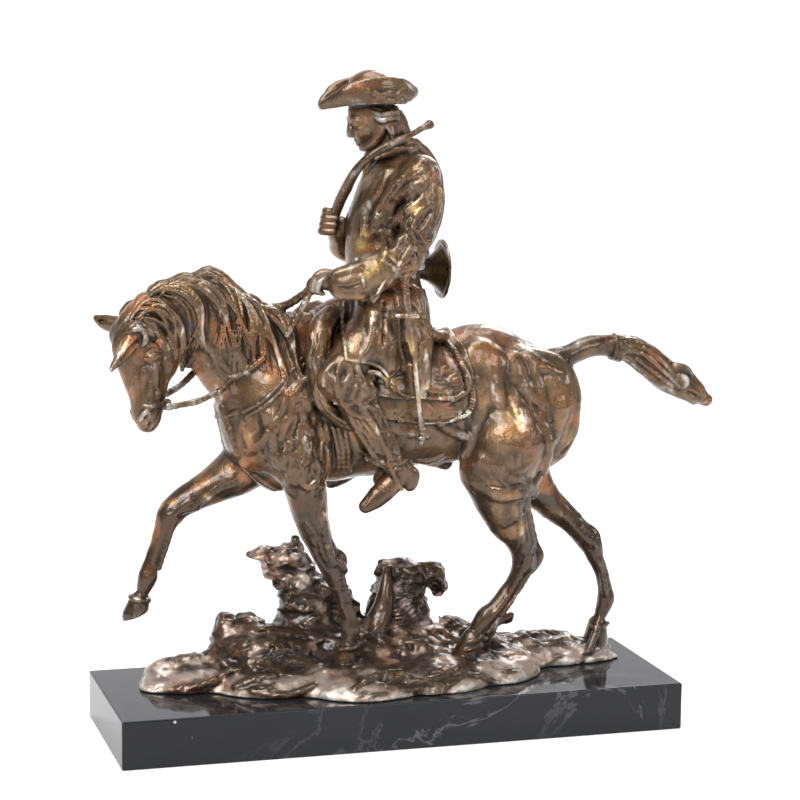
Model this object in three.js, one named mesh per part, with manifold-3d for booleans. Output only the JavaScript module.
// An equestrian statuette: a huntsman in a tricorne and long coat on a walking horse, a horn slung round him.
// Horse, rider, tack and the rough ground under them are one bronze casting on a black marble plinth.
// Millimetres, +Z up. The origin is the centre of the plinth's underside, and the horse faces -X.
import * as THREE from "three";
import { mergeVertices } from "three/addons/utils/BufferGeometryUtils.js";
import Module from "manifold-3d";

const wasm = await Module();
wasm.setup();

// Driving dimensions.
const PLINTH_LENGTH = 360;
const PLINTH_DEPTH = 120;
const PLINTH_HEIGHT = 30;
const PLINTH_CORNER = 2.5; // radius of the upright corners
const PLINTH_EDGE = 1.2; // eased edge round the top and the underside
const SEAT_GAP = 0.3; // between the casting's underside and the plinth's top
const GROUP_HEIGHT = 384; // from the plinth's top to the crown of the hat

// The figure's pose, proportions and carving are shares of its own height: one unit is a 384th of it.
const UNITS_HIGH = 384;
const UNIT = GROUP_HEIGHT / UNITS_HIGH;
const CELL = 2.4 * UNIT; // spacing of the lattice that the casting's skin is traced on
const SKIN_TRIANGLES = 9300;

const FAR = 60; // the field's value where nothing has been modelled yet
const COLOURS = {
  bronze: { color: 0x6b4a2c, roughness: 0.38, metalness: 0.85 },
  marble: { color: 0x1b1c1f, roughness: 0.12, metalness: 0.0 },
};

// Smooth minimum: joins two distances with a fillet about as wide as blend.
function melt(a, b, blend) {
  if (blend <= 0) return Math.min(a, b);
  const h = Math.max(blend - Math.abs(a - b), 0) / blend;
  return Math.min(a, b) - (h * h * blend) / 4;
}

// A repeatable roughness from crossed sine waves, between about -1 and 1, with features about size across.
function rough(x, y, z, size) {
  const k = (2 * Math.PI) / size;
  const first = Math.sin(k * x + 1.7 * Math.sin(0.61 * k * y));
  const second = Math.sin(k * (0.8 * y + 0.5 * z) + 1.3 * Math.sin(0.53 * k * x));
  const third = Math.sin(k * (0.9 * z - 0.4 * x) + 1.1 * Math.sin(0.7 * k * y));
  return (first + second + third) / 3;
}

// A block of clay: distances to the modelled surface on a lattice, negative inside.
class Clay {
  constructor(low, high) {
    this.low = low.clone().multiplyScalar(UNIT);
    this.size = high.clone().sub(low).multiplyScalar(UNIT / CELL).ceil().addScalar(1);
    this.field = new Float32Array(this.size.x * this.size.y * this.size.z).fill(FAR);
  }

  index(i, j, k) {
    return i + this.size.x * (j + this.size.y * k);
  }

  // Visits the lattice points of a box and lets change(value, x, y, z) set each value. Places are in units.
  work(box, change) {
    const from = box.min.clone().multiplyScalar(UNIT).sub(this.low).divideScalar(CELL).floor();
    const to = box.max.clone().multiplyScalar(UNIT).sub(this.low).divideScalar(CELL).ceil();
    from.max(new THREE.Vector3());
    to.min(this.size.clone().subScalar(1));
    const step = CELL / UNIT;
    const [x0, y0, z0] = this.low.toArray().map((v) => v / UNIT);
    for (let k = from.z; k <= to.z; k++)
      for (let j = from.y; j <= to.y; j++)
        for (let i = from.x; i <= to.x; i++) {
          const n = this.index(i, j, k);
          this.field[n] = change(this.field[n], x0 + i * step, y0 + j * step, z0 + k * step);
        }
  }

  // Adds a form given by its distance function.
  add(box, distance, blend = 0) {
    const reach = box.clone().expandByScalar(blend + 4);
    this.work(reach, (value, x, y, z) => melt(value, distance(x, y, z), blend));
  }

  // Takes a form away.
  carve(box, distance, blend = 0) {
    const reach = box.clone().expandByScalar(blend + 4);
    this.work(reach, (value, x, y, z) => -melt(-value, distance(x, y, z), blend));
  }

  // The distance at any place, blended from the eight lattice points round it.
  value(x, y, z) {
    const p = new THREE.Vector3(x, y, z).multiplyScalar(UNIT).sub(this.low).divideScalar(CELL);
    p.clamp(new THREE.Vector3(), this.size.clone().subScalar(1.001));
    const [i, j, k] = p.toArray().map(Math.floor);
    const [u, v, w] = [p.x - i, p.y - j, p.z - k];
    let sum = 0;
    for (let n = 0; n < 8; n++) {
      const [a, b, c] = [n & 1, (n >> 1) & 1, n >> 2];
      const share = (a ? u : 1 - u) * (b ? v : 1 - v) * (c ? w : 1 - w);
      sum += share * this.field[this.index(i + a, j + b, k + c)];
    }
    return sum;
  }

  // The y of the outermost surface at (x, z), seen from the side that side points to.
  skin(x, z, side) {
    for (let y = side * 58; y * side > -20; y -= side * 0.8) {
      const here = this.value(x, y, z);
      if (here < 0.8) return y - side * Math.max(here, 0);
    }
    return 0;
  }
}

const box3 = (points, margin) => new THREE.Box3().setFromPoints(points).expandByScalar(margin);

// A limb: a smooth rod through points [x, y, z, radius, flat]. flat squeezes the rod sideways, along y, or
// along the direction that turn degrees about the upright bring y to.
function limb(clay, points, { blend = 3, flat = 1, turn = 0, parts = 4 } = {}) {
  const line = new THREE.CatmullRomCurve3(
    points.map(([x, y, z]) => new THREE.Vector3(x, y, z)),
    false,
    "catmullrom",
    0.5,
  );
  const angle = THREE.MathUtils.degToRad(turn);
  const [c, s] = [Math.cos(angle), Math.sin(angle)];
  const steps = (points.length - 1) * parts;
  const between = (share, entry, otherwise) => {
    const place = share * (points.length - 1);
    const n = Math.min(Math.floor(place), points.length - 2);
    const t = THREE.MathUtils.smoothstep(place - n, -0.15, 1.15);
    return THREE.MathUtils.lerp(points[n][entry] ?? otherwise, points[n + 1][entry] ?? otherwise, t);
  };
  const knots = Array.from({ length: steps + 1 }, (_, n) => ({
    at: line.getPoint(n / steps),
    radius: between(n / steps, 3),
    flat: between(n / steps, 4, flat),
  }));
  for (let n = 0; n < steps; n++) {
    const [a, b] = [knots[n], knots[n + 1]];
    const squeeze = (a.flat + b.flat) / 2;
    const along = b.at.clone().sub(a.at);
    const [ux, uy, uz] = [c * along.x + s * along.y, (c * along.y - s * along.x) / squeeze, along.z];
    const length2 = ux * ux + uy * uy + uz * uz || 1e-9;
    clay.add(
      box3([a.at, b.at], Math.max(a.radius, b.radius)),
      (x, y, z) => {
        const [dx, dy] = [x - a.at.x, y - a.at.y];
        const [px, py, pz] = [c * dx + s * dy, (c * dy - s * dx) / squeeze, z - a.at.z];
        const t = Math.min(Math.max((px * ux + py * uy + pz * uz) / length2, 0), 1);
        const gap = Math.hypot(px - t * ux, py - t * uy, pz - t * uz);
        return (gap - a.radius - t * (b.radius - a.radius)) * Math.sqrt(squeeze);
      },
      n ? Math.min(blend, 1.2) : blend,
    );
  }
}

// The distance to an ellipsoid, turned by degrees about y and then about z.
function ovoid([cx, cy, cz], [rx, ry, rz], [aboutY, aboutZ] = [0, 0]) {
  const turn = new THREE.Matrix4()
    .makeRotationZ(THREE.MathUtils.degToRad(aboutZ))
    .multiply(new THREE.Matrix4().makeRotationY(THREE.MathUtils.degToRad(aboutY)))
    .invert();
  const e = turn.elements;
  return (x, y, z) => {
    const [dx, dy, dz] = [x - cx, y - cy, z - cz];
    const u = e[0] * dx + e[4] * dy + e[8] * dz;
    const v = e[1] * dx + e[5] * dy + e[9] * dz;
    const w = e[2] * dx + e[6] * dy + e[10] * dz;
    const k0 = Math.hypot(u / rx, v / ry, w / rz);
    const k1 = Math.hypot(u / (rx * rx), v / (ry * ry), w / (rz * rz)) || 1e-9;
    return (k0 * (k0 - 1)) / k1;
  };
}

// A lump of clay, or with carve a hollow.
function lump(clay, centre, radii, { turn = [0, 0], blend = 6, carve = false } = {}) {
  const box = box3([new THREE.Vector3(...centre)], Math.max(...radii));
  clay[carve ? "carve" : "add"](box, ovoid(centre, radii, turn), blend);
}

// The same lump on the near (-y) and the far (+y) side.
function pair(clay, [x, y, z], radii, options) {
  for (const side of [-1, 1]) lump(clay, [x, side * y, z], radii, options);
}

// Folds, locks or wrinkles: ridges spacing apart that cross the direction across, pressed into what lies in
// an ellipsoid and fading out to its edge. The ridges sway a little along their length.
function folds(clay, centre, radii, across, spacing, depth) {
  const [ax, ay, az] = new THREE.Vector3(...across).normalize().toArray();
  const box = new THREE.Box3(new THREE.Vector3(...radii).negate(), new THREE.Vector3(...radii));
  box.translate(new THREE.Vector3(...centre));
  clay.work(box, (value, x, y, z) => {
    const u = (x - centre[0]) / radii[0];
    const v = (y - centre[1]) / radii[1];
    const w = (z - centre[2]) / radii[2];
    const fade = 1 - u * u - v * v - w * w;
    if (fade <= 0 || Math.abs(value) > 8) return value;
    const sway = 0.28 * Math.sin((x + 2 * z) / (2.2 * spacing));
    const place = (x * ax + y * ay + z * az) / spacing + sway;
    return value - depth * Math.min(1, 2 * fade) * Math.cos(2 * Math.PI * place);
  });
}

// The ground: a mound that falls to the front, with a bushy stump on the left and a hollow one on the right.
function modelGround(clay) {
  const mounds = [
    [-120, 10, 0, 38, 22, 12],
    [-124, 18, 0, 27, 14, 17.5],
    [-70, 4, 0, 46, 40, 15],
    [-20, -10, 0, 46, 46, 15],
    [28, -4, 0, 44, 46, 17],
    [66, 0, 0, 36, 38, 16],
    [112, 16, 0, 42, 20, 11],
    [146, 14, 0, 17, 15, 9],
    [-56, 24, 0, 46, 24, 30],
    [-86, 24, 8, 17, 14, 30],
    [-4, 26, 2, 50, 24, 25],
    [52, 22, 0, 44, 26, 24],
    [100, 20, 0, 36, 16, 17],
    [132, 16, 0, 28, 14, 13],
  ];
  for (const [x, y, z, rx, ry, rz] of mounds) lump(clay, [x, y, z], [rx, ry, rz], { blend: 8 });
  limb(clay, [[-43, 28, 18, 22], [-45, 29, 38, 17.5], [-49, 30, 54, 14], [-52, 30, 66, 12]], { blend: 7 });
  lump(clay, [-61, 29, 71], [15, 11, 10], { blend: 4 });
  lump(clay, [-34, 30, 48], [12, 12, 12], { blend: 5 });
  lump(clay, [-98, 24, 20], [11, 12, 21], { blend: 4 });
  lump(clay, [-83, 24, 20], [13, 12, 20], { blend: 4 });
  lump(clay, [51, 24, 14], [17, 12, 17], { blend: 5 });
  lump(clay, [-22, 30, 32], [14, 12, 18], { blend: 5 });
  limb(clay, [[-66, 29, 74, 6.5], [-74, 28, 76, 4.5], [-81, 28, 76.5, 2.4]], { blend: 3 });
  limb(clay, [[-53, 30, 76, 6.5], [-50.5, 31, 86, 2.8]], { blend: 3 });
  limb(clay, [[13, 27, 18, 20], [19, 27, 36, 17.5], [22, 26, 53, 16]], { blend: 7, flat: 0.85 });
  limb(clay, [[9, 25, 59, 7.5], [21, 22, 61, 7], [33, 24, 60, 7], [41, 25, 56.5, 7.4]], { blend: 3 });
  lump(clay, [33, 12, 51], [6.5, 9, 8], { blend: 2, carve: true });
  limb(clay, [[66, 2, 26, 7], [76, 3, 31, 4.6], [84, 2, 33.5, 4]], { blend: 4 });
  const ground = new THREE.Box3(new THREE.Vector3(-165, -62, -6), new THREE.Vector3(170, 60, 100));
  clay.work(ground, (value, x, y, z) => {
    const depth = THREE.MathUtils.clamp((y + 20) / 30, 0.35, 1);
    return value + depth * (1.5 * rough(x, y, z, 15) + 0.8 * rough(z, x, y, 8));
  });
}

// Barrel, chest, quarters and the muscles that show from a step away.
function modelTrunk(clay) {
  lump(clay, [-14, 0, 177], [62, 33, 46], { blend: 0 });
  lump(clay, [-62, 0, 178], [43, 28, 46]);
  lump(clay, [-83, 0, 167], [24, 22, 32]);
  lump(clay, [32, 0, 178], [46, 29, 41]);
  lump(clay, [58, 0, 186], [44, 28, 39]);
  lump(clay, [-55, 0, 213], [28, 11, 21]);
  pair(clay, [-70, 18, 168], [25, 14, 40], { turn: [-18, 0] });
  pair(clay, [-86, 12, 157], [15, 11, 18]);
  lump(clay, [-72, 0, 136], [15, 13, 13], { blend: 8 });
  lump(clay, [-38, 0, 152], [24, 22, 23], { blend: 8 });
  pair(clay, [84, 16, 177], [36, 17, 35], { turn: [-12, 0] });
  pair(clay, [97, 13, 169], [26, 16, 38], { turn: [8, 0] });
  pair(clay, [52, 22, 196], [14, 9, 22], { blend: 8 });
  lump(clay, [110, 0, 194], [13, 10, 11]);
  limb(clay, [[28, 0, 141, 5], [38, 0, 137, 4.5]], { blend: 5 });
  pair(clay, [-50, 31, 170], [10, 5, 34], { turn: [-22, 0], blend: 5, carve: true });
  for (const side of [-1, 1]) folds(clay, [-30, side * 24, 165], [34, 16, 26], [1, 0, 0.35], 11, 0.6);
}

// Each leg is a limb from shoulder or hip to pastern, and a hoof.
function modelForelegs(clay) {
  const standing = [[-64, -18, 152, 17], [-58, -18, 127, 13], [-53.5, -17, 107, 11], [-47.5, -16, 92, 8.8],
    [-41.5, -15, 79, 8], [-38, -15, 69.5, 6.2], [-33, -14, 57, 5.2], [-28.5, -14, 44, 5.2],
    [-27.5, -14, 36, 6.4], [-28.5, -14, 28, 5]];
  limb(clay, standing, { blend: 7 });
  limb(clay, [[-29, -14, 25, 6.2], [-31, -14, 14, 8]], { blend: 2 });
  lump(clay, [-36, -15, 80], [6, 5, 8], { blend: 3 });
  const raised = [[-74, 12, 154, 20], [-90, 14, 137, 16], [-105, 14, 128, 12], [-119, 14, 121, 9.6],
    [-131, 14, 114.5, 8.2], [-137, 14, 107.5, 8], [-141, 14, 98, 6.2], [-145, 14, 88, 4.9],
    [-148.5, 14, 77, 4.9], [-150.5, 14, 70, 6], [-153, 14, 62, 4.5]];
  limb(clay, raised, { blend: 7 });
  limb(clay, [[-155, 14, 57, 6], [-157.5, 14, 49, 6.8]], { blend: 2 });
  lump(clay, [-161, 14, 46.5], [4, 5.5, 3], { turn: [30, 0], blend: 2 });
}

function modelHindlegs(clay) {
  const near = [[72, -19, 152, 26], [67, -20, 127, 19.5], [72.5, -20, 106, 13.8], [80, -19, 92, 9.4],
    [85, -17, 82, 7.8], [87, -16, 74, 7.8], [83, -16, 64, 5.8], [75, -16, 54, 5], [67, -16, 44, 5.2],
    [62, -16, 39.5, 6.4], [56.5, -16, 32, 5]];
  limb(clay, near, { blend: 7 });
  lump(clay, [57, -21, 137], [16, 12, 18], { turn: [20, 0], blend: 6 });
  limb(clay, [[85, -17, 108, 5], [92.5, -16, 86, 3.2], [95.5, -16, 77, 4], [90, -16, 70, 5]], { blend: 3 });
  limb(clay, [[52.5, -16, 26, 6.4], [48, -16, 14, 8.2]], { blend: 2 });
  const far = [[90, 15, 148, 22], [100, 15, 122, 14.5], [112.5, 14, 107, 10], [129.5, 14, 92, 7.6],
    [143, 14, 77, 6.6], [148, 14, 66, 5.4], [152.5, 14, 56, 4.8], [155, 14, 45, 4.7], [155.5, 14, 38, 5.8],
    [152, 14, 28, 4.4]];
  limb(clay, far, { blend: 7 });
  lump(clay, [90, 18, 134], [15, 11, 18], { blend: 6 });
  const tendon = [[121, 14, 104, 3.4], [135, 14, 91.5, 2.8], [145.5, 14, 83.5, 3.2], [148, 14, 74, 4.2]];
  limb(clay, tendon, { blend: 3 });
  limb(clay, [[150, 14, 22, 6.2], [149, 14, 10, 8.2]], { blend: 2 });
}

// The tail, with its strap and the round boss that lies on it.
function modelTail(clay) {
  const dock = [[106, 0, 198, 9.5], [119, 0, 203.5, 6.8], [134, 0.5, 209, 6.8], [149, 1, 209.5, 7.2],
    [163, 1.5, 206.5, 8], [177, 2, 197, 9.4], [191, 2, 187, 9.6], [203, 2, 182, 9],
    [213, 2, 175, 6.2], [220.5, 2, 170, 3]];
  limb(clay, dock, { blend: 4 });
  limb(clay, [[150, -6, 212, 3], [151, -7.5, 208, 3], [150, -6, 203, 3]], { blend: 1.5 });
  folds(clay, [188, 0, 188], [28, 16, 22], [0.62, 0.3, 1], 6.5, 0.7);
  lump(clay, [200, -7, 183], [4.6, 2.6, 4.6], { blend: 1 });
}

// The neck, bent at the poll.
function modelNeck(clay) {
  const neck = [[-78, 0, 198, 34], [-91, 0, 209.5, 32.5], [-103, 0, 220, 29.5], [-115, -1, 228, 25],
    [-126, -2, 231.5, 22.5], [-136, -3, 233, 19], [-147, -4, 232, 15.5], [-156, -6, 230, 12]];
  limb(clay, neck, { blend: 12, flat: 0.53 });
}

// The head hangs almost straight down and is turned a little to the near side. Places on it are given down
// from the poll, forward to the face and sideways to the near side.
const HEAD_TURN = 24;
const POLL = new THREE.Vector3(-156.5, -7, 229);
const MUZZLE = new THREE.Vector3(-156, -19.5, 168);
function onHead(down, forward, near) {
  const turn = THREE.MathUtils.degToRad(HEAD_TURN);
  const fall = MUZZLE.clone().sub(POLL).normalize();
  const face = new THREE.Vector3(-Math.cos(turn), -Math.sin(turn), 0);
  const side = new THREE.Vector3(Math.sin(turn), -Math.cos(turn), 0);
  const place = POLL.clone().addScaledVector(fall, down);
  return place.addScaledVector(face, forward).addScaledVector(side, near).toArray();
}

function modelHead(clay) {
  const sections = [[-3, 4, 11, 0.8], [10, 3, 18.8, 0.6], [21, -0.5, 19.5, 0.53], [32, 0, 14.5, 0.62],
    [43, 0, 10.5, 0.74], [52, 0.5, 9.2, 0.8], [57, 0.5, 6.6, 0.9]];
  const skull = sections.map(([down, forward, radius, flat]) => [...onHead(down, forward, 0), radius, flat]);
  limb(clay, skull, { blend: 5, turn: HEAD_TURN });
  for (const near of [-1, 1]) {
    const turn = [0, HEAD_TURN];
    lump(clay, onHead(20, -10, near * 6.5), [10, 4.5, 12], { turn, blend: 4 });
    lump(clay, onHead(4, 13, near * 6), [7, 5, 8], { turn, blend: 4 });
    lump(clay, onHead(11, 9, near * 10), [5, 2.6, 3.4], { turn, blend: 2 });
    lump(clay, onHead(17, 8.5, near * 9.6), [3, 2.2, 2], { turn, blend: 1.5 });
    lump(clay, onHead(54, 5.5, near * 5.5), [3.4, 2.4, 3.6], { turn, blend: 2 });
    lump(clay, onHead(33, -1, near * 12), [13, 3.2, 5], { turn, blend: 3, carve: true });
  }
  limb(clay, [[-164, -18, 226, 4], [-171, -25, 217, 4.6], [-180.5, -30, 206.5, 1.6]], { blend: 3 });
  lump(clay, [-170, -30, 216], [2.4, 3.4, 6], { turn: [45, 20], blend: 1.5, carve: true });
  limb(clay, [[-170, 2, 229, 4.5], [-177, 8, 230, 4.2], [-183.5, 12, 233, 1.8]], { blend: 3 });
}

// Locks of mane that fall from the crest over the near side of the neck, with a forelock between the ears.
function modelMane(clay) {
  const ridge = [[-162, 236], [-152, 246], [-140, 252.5], [-130, 255.5], [-121, 256], [-113, 253],
    [-104, 249], [-94, 245.5], [-84, 241], [-74, 236]];
  const crest = new THREE.CatmullRomCurve3(ridge.map(([x, z]) => new THREE.Vector3(x, 0, z)));
  const locks = 16;
  const paths = Array.from({ length: locks }, (_, n) => {
    const share = n / (locks - 1);
    const root = crest.getPoint(0.1 + 0.9 * share);
    const fall = 20 + 34 * Math.sin(Math.PI * Math.min(share * 1.05 + 0.1, 1)) + 4 * Math.sin(n * 2.4);
    const sweep = 12 + 8 * share + 3 * Math.sin(n * 1.9);
    return [0, 0.25, 0.55, 0.8, 1].map((t) => {
      const x = root.x + sweep * t ** 1.6 - 2.5 * Math.sin(Math.PI * t);
      const z = root.z - 1 - fall * t;
      const y = t ? Math.min(clay.skin(x, z, -1) - 0.8, -3 - 8 * t) : -1.5;
      return [x, y, z, 4.4 * (1 - 0.5 * t * t)];
    });
  });
  for (const path of paths) limb(clay, path, { blend: 1.6, parts: 3 });
  const top = [[-160, -4, 239, 5], [-141, -1, 252, 5.5], [-120, 0, 256, 5.5], [-98, 0, 246.5, 5.2],
    [-78, 0, 235.5, 5]];
  limb(clay, top, { blend: 4 });
  limb(clay, [[-160, -7, 238, 5], [-168, -11, 234, 4.4], [-171, -16, 226, 3]], { blend: 3 });
}

// A strap that lies on what is modelled so far, along a path of [x, z] on one side.
function strap(clay, path, side, radius = 1.8, proud = 0.6) {
  const laid = path.map(([x, z]) => [x, clay.skin(x, z, side) + side * proud, z, radius]);
  limb(clay, laid, { blend: 0.8, parts: 2 });
}

// A cloth that lies on what is modelled so far: its skin inside an outline of [x, z], on both sides, made
// thicker.
function cloth(clay, outline, thickness) {
  const shape = outline.map(([x, z]) => new THREE.Vector2(x, z));
  const inside = (x, z) => {
    let nearest = Infinity;
    let within = false;
    shape.forEach((a, n) => {
      const b = shape[(n + 1) % shape.length];
      const [ex, ez, px, pz] = [b.x - a.x, b.y - a.y, x - a.x, z - a.y];
      const t = Math.min(Math.max((px * ex + pz * ez) / (ex * ex + ez * ez), 0), 1);
      nearest = Math.min(nearest, Math.hypot(px - t * ex, pz - t * ez));
      if (a.y > z !== b.y > z && x < a.x + ((z - a.y) / (b.y - a.y)) * ex) within = !within;
    });
    return within ? -nearest : nearest;
  };
  const box = box3(shape.map((p) => new THREE.Vector3(p.x, 0, p.y)), 4);
  box.min.y = -55;
  box.max.y = 55;
  clay.work(box, (value, x, y, z) => Math.min(value, Math.max(value - thickness, inside(x, z))));
}

// Saddle cloth in two tiers, the saddle's pommel, breast strap, girth and the fleece rolled in front of the
// thighs.
function modelSaddlery(clay) {
  const lower = [[-50, 240], [-56, 200], [-40, 178], [-8, 171], [11, 167], [31, 167], [44, 170.5], [47, 182],
    [44, 202], [36, 232]];
  const upper = [[-46, 240], [-52, 204], [-34, 192], [-8, 185], [17, 182.5], [30, 182], [40, 185], [43, 192],
    [41, 202], [36, 213], [30, 222], [29, 236]];
  cloth(clay, lower, 2);
  cloth(clay, upper, 2.2);
  lump(clay, [-35, 0, 233], [11, 14, 10], { blend: 5 });
  const breast = [[-96, -17, 179, 2.4], [-104, -13, 174.5, 2.4], [-109.5, -4, 171.5, 2.4],
    [-109.5, 4, 171.5, 2.4], [-104, 13, 174.5, 2.4], [-96, 17, 179, 2.4]];
  limb(clay, breast, { blend: 1 });
  const roll = [[-43, 14, 235, 6], [-51, 24, 228, 7.5], [-54, 29, 216, 7], [-54, 30, 200, 6.5],
    [-52, 31, 186, 5.5], [-45, 31, 176, 4.6], [-34, 32, 168, 3.4]];
  for (const side of [-1, 1]) {
    strap(clay, [[-98, 178], [-88, 185], [-78, 195], [-62, 211]], side, 2.4);
    strap(clay, [[-42, 165], [-38, 150], [-36, 138]], side, 2.8);
    limb(clay, roll.map(([x, y, z, radius]) => [x, side * y, z, radius]), { blend: 4 });
    folds(clay, [-50, side * 30, 208], [13, 16, 44], [1, 0.4 * side, 0.22], 6.5, 0.9);
  }
}

// The rider's seat, thighs and boots; the far leg mirrors the near one.
function modelRiderLegs(clay) {
  lump(clay, [0, 0, 234], [25, 25, 22], { blend: 6 });
  for (const side of [-1, 1]) {
    const leg = (points, options) => limb(clay, points.map(([x, y, z, r]) => [x, side * y, z, r]), options);
    leg([[-4, 16, 232, 17], [-23, 28, 219, 15], [-39, 35, 204, 13], [-45, 37, 198, 11.5]], { blend: 6 });
    const shin = [[-36, 37, 190, 10.5], [-28, 38, 177, 10.4], [-19, 38.5, 163, 9.2], [-10.5, 39, 150, 7.4],
      [-5, 39, 142, 7]];
    leg(shin, { blend: 3 });
    leg([[-41, 37, 195, 12.5], [-30, 38, 192, 12.5]], { blend: 1.5 });
    lump(clay, [-21, side * 42, 197], [5, 6, 5], { blend: 1.5, carve: true });
    const foot = [[-1, 38, 140, 6.6], [-9, 38.5, 132.5, 7], [-18, 39.5, 125, 6], [-26, 40.5, 119.5, 3.8]];
    leg(foot, { blend: 3 });
    leg([[-4, 30, 146, 7], [-14, 31, 134, 4.5]], { blend: 4 });
    leg([[2, 39, 136, 5], [2.5, 39, 131, 3.8]], { blend: 2 });
    leg([[-2, 43.5, 144, 2.6], [-6, 44, 134, 2.4], [-3, 43, 126, 2]], { blend: 1 });
    folds(clay, [-12, side * 39, 152], [16, 12, 14], [0.5, 0, 1], 6.5, 0.6);
  }
}

// Coat: the skirts spread over the saddle, the body, the sleeves with deep cuffs and the hands.
function modelCoat(clay) {
  lump(clay, [-4, 0, 250], [23, 24, 26], { blend: 5 });
  for (const side of [-1, 1]) {
    const skirt = [[0, 14, 242, 16], [8, 23, 222, 12.5], [8, 30, 203, 8.5], [7, 33, 191, 5]];
    limb(clay, skirt.map(([x, y, z, radius]) => [x, side * y, z, radius]), { blend: 6 });
    const lap = [[-14, side * 22, 240, 13], [-20, side * 31, 222, 12], [-14, side * 35, 208, 9]];
    limb(clay, lap, { blend: 5 });
  }
  limb(clay, [[1, 0, 246, 12], [9, 0, 232, 11], [19, 0, 220, 8]], { blend: 8 });
  const hem = [[-22, 250], [-34, 232], [-40, 214], [-23, 207.5], [-16, 204], [-7, 193.5], [6, 185.5],
    [14, 185], [17, 215], [18, 250]];
  cloth(clay, hem, 2);
  for (const side of [-1, 1]) {
    folds(clay, [0, side * 32, 218], [26, 18, 36], [1, 0, -0.35], 9, 1);
    limb(clay, [[11, side * 25, 321, 11], [10, side * 31, 312, 10.5]], { blend: 5 });
  }
  const body = [[-7, 0, 262, 21], [-4.5, 0, 285, 23], [1, 0, 306, 22.5], [5, 0, 320, 17], [4, 0, 331, 11.5]];
  limb(clay, body, { blend: 6 });
  lump(clay, [2, 0, 313], [18, 29, 17], { blend: 6 });
  const nearSleeve = [[11, -25, 321, 11], [9.5, -32, 302, 10.5], [5, -35, 284, 10.5], [-3, -37, 269, 10],
    [-16, -39, 265, 9.4], [-28, -38, 262, 9]];
  limb(clay, nearSleeve, { blend: 4 });
  limb(clay, [[-17, -39, 264, 12], [-27, -38, 261, 12]], { blend: 1.5 });
  limb(clay, [[-21, -44, 258, 5.5], [-24, -44.5, 247, 2.4]], { blend: 3 });
  const hand = [[-34, -36, 258, 7], [-42, -33, 257, 6.4], [-50, -29, 258, 5.6], [-55, -26, 255, 4]];
  limb(clay, hand, { blend: 3 });
  for (const n of [0, 1, 2, 3]) {
    const finger = [[-44 - 3 * n, -35 + 2.4 * n, 259, 2.4], [-46 - 3 * n, -33 + 2.4 * n, 251, 2.2]];
    limb(clay, finger, { blend: 1.2 });
  }
  const farSleeve = [[8, 25, 321, 11], [-2, 32, 298, 10], [-14, 31, 271, 9], [-23, 25, 276, 8.5],
    [-27.5, 19, 284, 8]];
  limb(clay, farSleeve, { blend: 4 });
  lump(clay, [-36.5, 14, 290], [6.4, 6.5, 8.5], { blend: 3 });
  for (const side of [-1, 1]) {
    folds(clay, [4, side * 34, 288], [17, 14, 26], [-0.5, 0, 1], 9.5, 0.9);
    folds(clay, [-8, side * 18, 292], [22, 14, 36], [1, 0, -0.6], 12, 1);
  }
}

// The rider's head, a plain calm one, with the hair tied at the nape, a side curl, and the tricorne.
function modelRiderHead(clay) {
  limb(clay, [[3, 0, 326, 10], [-3, 0, 342, 8.5]], { blend: 4 });
  const collar = [[-13, -9, 331, 3], [-4, -13, 335, 3.4], [8, -10, 336, 3.4], [13, 0, 336, 3.4],
    [8, 10, 336, 3.4], [-4, 13, 335, 3.4], [-13, 9, 331, 3]];
  limb(clay, collar, { blend: 2 });
  lump(clay, [-11, 0, 355], [13.5, 10.5, 14], { blend: 3 });
  lump(clay, [-16.5, 0, 344.5], [8.5, 7.5, 9], { blend: 4 });
  limb(clay, [[-24, 0, 352, 1.6], [-27, 0, 347.5, 2.1]], { blend: 2 });
  lump(clay, [-24.5, 0, 341], [2.4, 3.2, 1.4], { blend: 1.5 });
  pair(clay, [-24.5, 4.5, 352.5], [2.5, 2.6, 1.8], { blend: 1.5, carve: true });
  pair(clay, [-4, 10, 352], [5, 3, 5.5], { blend: 2 });
  limb(clay, [[-2, 0, 353, 9.5], [4, 0, 347, 6], [8, 0, 340, 4.2]], { blend: 3 });
  lump(clay, [-14, 0, 372], [15, 13, 12], { blend: 2 });
  lump(clay, [-14, 0, 365], [25, 18, 3], { turn: [-6, 0], blend: 2 });
  const flap = [[-42.5, 1, 362, 3], [-36, 9, 365.5, 4.4], [-23, 16, 369.5, 6.2], [-9, 18, 371.5, 6.4],
    [2, 15.5, 371, 5.4], [8, 11, 370, 3.4]];
  for (const side of [-1, 1])
    limb(clay, flap.map(([x, y, z, radius]) => [x, side * y, z, radius]), { blend: 1.5, flat: 0.42 });
  const back = [[6, -11, 370, 4.6], [8.5, 0, 371, 5.6], [6, 11, 370, 4.6]];
  limb(clay, back, { blend: 1.5, flat: 0.45, turn: 90 });
}

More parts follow.
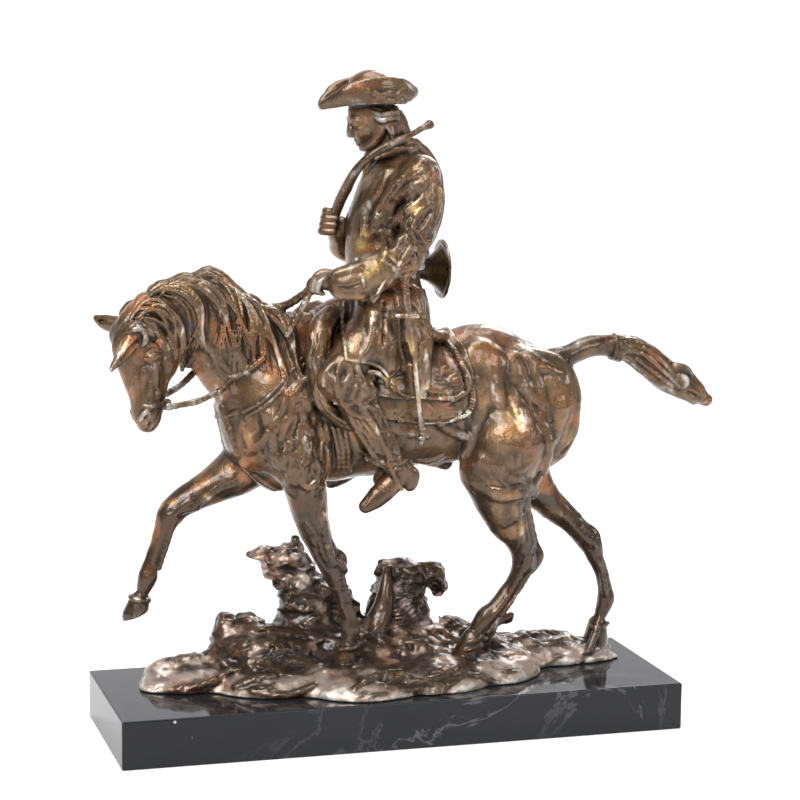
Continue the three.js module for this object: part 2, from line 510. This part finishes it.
// The hunting horn: one wide turn round the body, the mouthpiece over the near shoulder and the bell behind.
function modelHorn(clay) {
  const tube = [[19, -14, 350.5, 2.6], [9, -15.5, 345.5, 2.4], [-1, -17, 341, 2.5], [-10, -18, 337, 2.6],
    [-19, -17, 331.5, 2.8], [-26, -12, 323, 3], [-30, -3, 311, 3], [-33, 8, 297, 3], [-31, 22, 284, 3],
    [-19, 38, 270, 3.2], [0, 38, 260, 3.4], [11, 24, 261, 3.6], [17, 8, 268, 3.6], [25, 6, 277, 3.4],
    [30.5, 6, 288, 3.4], [33, 6, 300, 3.4], [32.5, 6, 311, 3.4], [30, 5, 321, 3.2], [24, 3, 331, 3],
    [14, -4, 338.5, 3], [5, -12, 341, 3]];
  limb(clay, tube, { blend: 0.6 });
  limb(clay, [[18, -14, 349.5, 2.6], [19.5, -13.7, 350.5, 3.2]], { blend: 0.5 });
  limb(clay, [[0, 20, 262, 4.5], [12, 14, 260, 5]], { blend: 1 });
  const [throat, mouth, y0, z0, wall] = [12, 38.2, 13, 258.8, 2.8];
  const share = (x) => THREE.MathUtils.clamp((x - throat) / (mouth - throat), 0, 1);
  const flare = (x) => 5 + 13.4 * share(x) ** 3;
  const steep = (x) => Math.hypot(1, (3 * 13.4 * share(x) ** 2) / (mouth - throat));
  const outer = (x, y, z) => (Math.hypot(y - y0, z - z0) - flare(x)) / steep(x);
  const bell = new THREE.Box3(new THREE.Vector3(8, -8, 238), new THREE.Vector3(41, 34, 281));
  clay.add(bell, (x, y, z) => Math.max(outer(x, y, z), x - mouth, 8 - x));
  clay.carve(bell, (x, y, z) => Math.max(outer(x, y, z) + wall, mouth - 9 - x));
}

// The hanger, a short hunting sword, in its scabbard on the near hip.
function modelSword(clay) {
  limb(clay, [[-5, -47, 266, 3.4], [-1.5, -47, 240, 3]], { blend: 1 });
  limb(clay, [[-10, -47, 238.5, 2], [7, -46.5, 238.5, 2]], { blend: 1 });
  limb(clay, [[-1, -46, 236, 3.8], [3, -44, 216, 3.4]], { blend: 1 });
  const scabbard = [[3, -43.5, 216, 2.6], [8, -41, 188, 2.4], [12.5, -38.5, 163, 2.5], [13, -38, 159, 3.2]];
  limb(clay, scabbard, { blend: 1 });
}

function modelReins(clay) {
  limb(clay, [[-146, -30, 183, 2], [-127, -28, 186, 2], [-113, -22, 191, 2]], { blend: 1, parts: 3 });
  strap(clay, [[-113, 191], [-100, 199], [-86, 210]], -1, 2, 1);
  limb(clay, [[-72, -24, 224, 2], [-64, -25, 239, 2], [-56, -26, 253, 2]], { blend: 2 });
  limb(clay, [[-76, 0, 237, 3], [-66, -8, 241.5, 2.6], [-56, -24, 253.5, 2.4]], { blend: 3 });
  limb(clay, [[-143, -10, 188, 2], [-131, 2, 192, 2], [-119, 9, 202, 2.4]], { blend: 1.5 });
  const bit = [[...onHead(47, 8, 3), 1.6], [...onHead(47, 3, 8.5), 1.6], [...onHead(46, -7, 7.5), 1.6]];
  limb(clay, [...bit, [-146, -30, 184, 2.4]], { blend: 1 });
}

// The six tetrahedra that a cube of the lattice is cut into, all round its long diagonal. A cube's corners
// are numbered by bits, one bit for each axis.
const TETRAHEDRA = [[1, 2, 4], [2, 4, 1], [4, 1, 2], [2, 1, 4], [1, 4, 2], [4, 2, 1]].map(([a, b], n) =>
  n < 3 ? [0, a, a | b, 7] : [0, a | b, a, 7],
);
// A tetrahedron's corners with the lone one first, or with the two that go together first, in a turning order
// that makes the traced triangles face out.
const ALONE = [[0, 1, 2, 3], [1, 0, 3, 2], [2, 0, 1, 3], [3, 0, 2, 1]];
const PAIRED = [[0, 1, 2, 3], [0, 2, 3, 1], [0, 3, 1, 2], [1, 2, 0, 3], [1, 3, 2, 0], [2, 3, 0, 1]];

// Traces the clay's surface as one closed mesh: each cube of the lattice is cut into six tetrahedra.
function trace(clay) {
  const { field, size, low } = clay;
  const places = [];
  const faces = [];
  const known = new Map();
  const keep = 0.08; // share of an edge kept clear at both ends, so that no triangle is a sliver
  const layer = size.x * size.y;
  const corner = (n) => [n % size.x, Math.floor(n / size.x) % size.y, Math.floor(n / layer)];
  const crossing = (a, b) => {
    const [from, to] = a < b ? [a, b] : [b, a];
    const key = from * 4194304 + (to - from);
    let vertex = known.get(key);
    if (vertex === undefined) {
      const share = THREE.MathUtils.clamp(field[from] / (field[from] - field[to]), keep, 1 - keep);
      const [p, q] = [corner(from), corner(to)];
      vertex = places.length;
      places.push(p.map((v, n) => low.getComponent(n) + CELL * (v + share * (q[n] - v))));
      known.set(key, vertex);
    }
    return vertex;
  };
  const shift = Array.from({ length: 8 }, (_, n) => clay.index(n & 1, (n >> 1) & 1, n >> 2));
  for (let k = 0; k < size.z - 1; k++)
    for (let j = 0; j < size.y - 1; j++)
      for (let i = 0; i < size.x - 1; i++) {
        const base = clay.index(i, j, k);
        let inside = 0;
        for (const s of shift) inside += field[base + s] < 0 ? 1 : 0;
        if (inside === 0 || inside === 8) continue;
        for (const tetrahedron of TETRAHEDRA) {
          const at = tetrahedron.map((c) => base + shift[c]);
          const within = [0, 1, 2, 3].filter((n) => field[at[n]] < 0);
          if (within.length === 1 || within.length === 3) {
            const lone = within.length === 1 ? within[0] : [0, 1, 2, 3].find((n) => !within.includes(n));
            const [a, b, c, d] = ALONE[lone].map((n) => at[n]);
            const ring = [crossing(a, b), crossing(a, c), crossing(a, d)];
            faces.push(within.length === 1 ? ring : ring.reverse());
          } else if (within.length === 2) {
            const order = PAIRED.find((p) => within.includes(p[0]) && within.includes(p[1]));
            const [a, b, c, d] = order.map((n) => at[n]);
            const [ac, ad, bd, bc] = [crossing(a, c), crossing(a, d), crossing(b, d), crossing(b, c)];
            faces.push([ac, ad, bd], [ac, bd, bc]);
          }
        }
      }
  return { places, faces };
}

const minus = (a, b) => [a[0] - b[0], a[1] - b[1], a[2] - b[2]];
const cross = (a, b) => [a[1] * b[2] - a[2] * b[1], a[2] * b[0] - a[0] * b[2], a[0] * b[1] - a[1] * b[0]];
const dot = (a, b) => a[0] * b[0] + a[1] * b[1] + a[2] * b[2];

// Draws a closed mesh with fewer triangles. Each round closes up the edges whose loss moves the surface by
// less than a limit, and the limit grows until few enough triangles are left.
function simplify({ places, faces }, target) {
  const around = places.map(() => []);
  faces.forEach((face, n) => face.forEach((v) => around[v].push(n)));

  // A vertex's quadric sums the squared distances to the planes of its faces, as ten numbers.
  const quadrics = new Float64Array(places.length * 10);
  for (const [i, j, k] of faces) {
    const normal = cross(minus(places[j], places[i]), minus(places[k], places[i]));
    const area = Math.hypot(...normal) || 1e-12;
    const [a, b, c] = normal.map((v) => v / area);
    const d = -dot([a, b, c], places[i]);
    const terms = [a * a, a * b, a * c, a * d, b * b, b * c, b * d, c * c, c * d, d * d];
    for (const v of [i, j, k]) terms.forEach((term, t) => (quadrics[v * 10 + t] += term * area));
  }
  const q = new Float64Array(10);
  const error = (x, y, z) =>
    q[0] * x * x + 2 * q[1] * x * y + 2 * q[2] * x * z + 2 * q[3] * x +
    q[4] * y * y + 2 * q[5] * y * z + 2 * q[6] * y + q[7] * z * z + 2 * q[8] * z + q[9];
  let spot;
  // The error of closing the edge from u to v, with the best place for the vertex that is left in spot.
  const cost = (u, v) => {
    for (let t = 0; t < 10; t++) q[t] = quadrics[u * 10 + t] + quadrics[v * 10 + t];
    const [a, b] = [places[u], places[v]];
    const span2 = (a[0] - b[0]) ** 2 + (a[1] - b[1]) ** 2 + (a[2] - b[2]) ** 2;
    const middle = [(a[0] + b[0]) / 2, (a[1] + b[1]) / 2, (a[2] + b[2]) / 2];
    const m0 = q[4] * q[7] - q[5] * q[5];
    const m1 = q[2] * q[5] - q[1] * q[7];
    const m2 = q[1] * q[5] - q[2] * q[4];
    const volume = q[0] * m0 + q[1] * m1 + q[2] * m2;
    spot = middle;
    if (Math.abs(volume) > 1e-4 * (q[0] + q[4] + q[7]) ** 3) {
      const m3 = q[0] * q[7] - q[2] * q[2];
      const m4 = q[1] * q[2] - q[0] * q[5];
      const m5 = q[0] * q[4] - q[1] * q[1];
      const x = -(m0 * q[3] + m1 * q[6] + m2 * q[8]) / volume;
      const y = -(m1 * q[3] + m3 * q[6] + m4 * q[8]) / volume;
      const z = -(m2 * q[3] + m4 * q[6] + m5 * q[8]) / volume;
      if ((x - middle[0]) ** 2 + (y - middle[1]) ** 2 + (z - middle[2]) ** 2 < 2 * span2) spot = [x, y, z];
    }
    return Math.max(error(...spot), 0) + 2e-4 * span2;
  };
  const costs = new Float64Array(faces.length * 3);
  const price = (n) => {
    for (let e = 0; e < 3; e++) costs[n * 3 + e] = cost(faces[n][e], faces[n][(e + 1) % 3]);
  };
  faces.forEach((_, n) => price(n));

  const ring = (v) => {
    const found = [];
    for (const n of around[v])
      for (const w of faces[n]) {
        if (w !== v && !found.includes(w)) found.push(w);
      }
    return found;
  };
  // Whether no face of v, but for those it shares with gone, would turn over or close up if v moved to place.
  const staysOpen = (v, gone, place) => {
    for (const n of around[v]) {
      const face = faces[n];
      if (face.includes(gone)) continue;
      const at = face.indexOf(v);
      const [b, c] = [places[face[(at + 1) % 3]], places[face[(at + 2) % 3]]];
      const before = cross(minus(b, places[v]), minus(c, places[v]));
      const after = cross(minus(b, place), minus(c, place));
      const [was, is] = [Math.sqrt(dot(before, before)), Math.sqrt(dot(after, after))];
      if (is < 0.03 || dot(before, after) < 0.25 * was * is) return false;
    }
    return true;
  };
  const close = (u, v) => {
    const near = ring(v);
    if (ring(u).filter((w) => near.includes(w)).length !== 2) return 0;
    cost(u, v);
    const place = spot;
    if (!staysOpen(u, v, place) || !staysOpen(v, u, place)) return 0;
    for (const n of around[v]) {
      if (faces[n].includes(u)) {
        const others = faces[n].filter((w) => w !== v);
        for (const w of others) around[w] = around[w].filter((m) => m !== n);
        faces[n] = null;
      } else {
        faces[n] = faces[n].map((w) => (w === v ? u : w));
        around[u].push(n);
      }
    }
    places[u] = place;
    for (let t = 0; t < 10; t++) quadrics[u * 10 + t] += quadrics[v * 10 + t];
    for (const n of around[u]) price(n);
    return 2;
  };
  let left = faces.length;
  for (let limit = 1e-3; left > target; limit *= 1.35)
    for (let n = 0; n < faces.length && left > target; n++)
      for (let e = 0; e < 3 && faces[n]; e++)
        if (costs[n * 3 + e] < limit) left -= close(faces[n][e], faces[n][(e + 1) % 3]);
  return { places, faces: faces.filter(Boolean) };
}

function toSolid(geometry) {
  const bare = geometry.clone();
  bare.deleteAttribute("normal");
  bare.deleteAttribute("uv");
  const merged = mergeVertices(bare, 1e-4);
  return new wasm.Manifold(
    new wasm.Mesh({
      numProp: 3,
      vertProperties: merged.getAttribute("position").array,
      triVerts: new Uint32Array(merged.index.array),
    }),
  );
}

function toGeometry(solid) {
  const mesh = solid.getMesh();
  const geometry = new THREE.BufferGeometry();
  geometry.setAttribute("position", new THREE.BufferAttribute(new Float32Array(mesh.vertProperties), 3));
  geometry.setIndex(new THREE.BufferAttribute(new Uint32Array(mesh.triVerts), 1));
  geometry.computeVertexNormals();
  return geometry;
}

// The casting: all the clay in one, traced, drawn with fewer triangles and cut flat where it sits on the
// plinth.
function castingGeometry() {
  const low = new THREE.Vector3(-190, -66, -9);
  const high = new THREE.Vector3(228, 62, 390);
  const clay = new Clay(low, high);
  modelGround(clay);
  modelTrunk(clay);
  modelForelegs(clay);
  modelHindlegs(clay);
  modelTail(clay);
  modelNeck(clay);
  modelHead(clay);
  modelMane(clay);
  modelSaddlery(clay);
  modelRiderLegs(clay);
  modelCoat(clay);
  modelRiderHead(clay);
  modelHorn(clay);
  modelSword(clay);
  modelReins(clay);
  const lowest = -4; // the clay is closed here, a little below the flat cut
  const foot = new THREE.Box3(low, new THREE.Vector3(high.x, high.y, 0));
  clay.work(foot, (value, x, y, z) => Math.max(value, lowest - z));
  const skin = simplify(trace(clay), SKIN_TRIANGLES);
  const geometry = new THREE.BufferGeometry();
  geometry.setAttribute("position", new THREE.Float32BufferAttribute(skin.places.flat(), 3));
  geometry.setIndex(skin.faces.flat());
  const span = high.clone().sub(low).multiplyScalar(2 * UNIT);
  const below = new THREE.BoxGeometry(span.x, span.y, span.z);
  below.translate(0, 0, -span.z / 2);
  return toGeometry(toSolid(geometry).subtract(toSolid(below)));
}

// The plinth: a slab with eased edges.
function plinthGeometry() {
  const r = PLINTH_CORNER - PLINTH_EDGE;
  const x = PLINTH_LENGTH / 2 - PLINTH_EDGE;
  const y = PLINTH_DEPTH / 2 - PLINTH_EDGE;
  const outline = new THREE.Shape();
  outline.absarc(x - r, y - r, r, 0, Math.PI / 2);
  outline.absarc(-x + r, y - r, r, Math.PI / 2, Math.PI);
  outline.absarc(-x + r, -y + r, r, Math.PI, 1.5 * Math.PI);
  outline.absarc(x - r, -y + r, r, 1.5 * Math.PI, 2 * Math.PI);
  const geometry = new THREE.ExtrudeGeometry(outline, {
    depth: PLINTH_HEIGHT - 2 * PLINTH_EDGE,
    curveSegments: 3,
    bevelThickness: PLINTH_EDGE,
    bevelSize: PLINTH_EDGE,
    bevelSegments: 2,
  });
  geometry.translate(0, 0, PLINTH_EDGE);
  return geometry;
}

function piece(name, geometry, finish) {
  const mesh = new THREE.Mesh(geometry, new THREE.MeshStandardMaterial(finish));
  mesh.name = name;
  return mesh;
}

const statuette = new THREE.Group();
const plinth = piece("marble_plinth", plinthGeometry(), COLOURS.marble);
const casting = piece("bronze_horse_and_rider", castingGeometry(), COLOURS.bronze);
casting.position.z = PLINTH_HEIGHT + SEAT_GAP;
statuette.add(plinth, casting);

export default statuette;
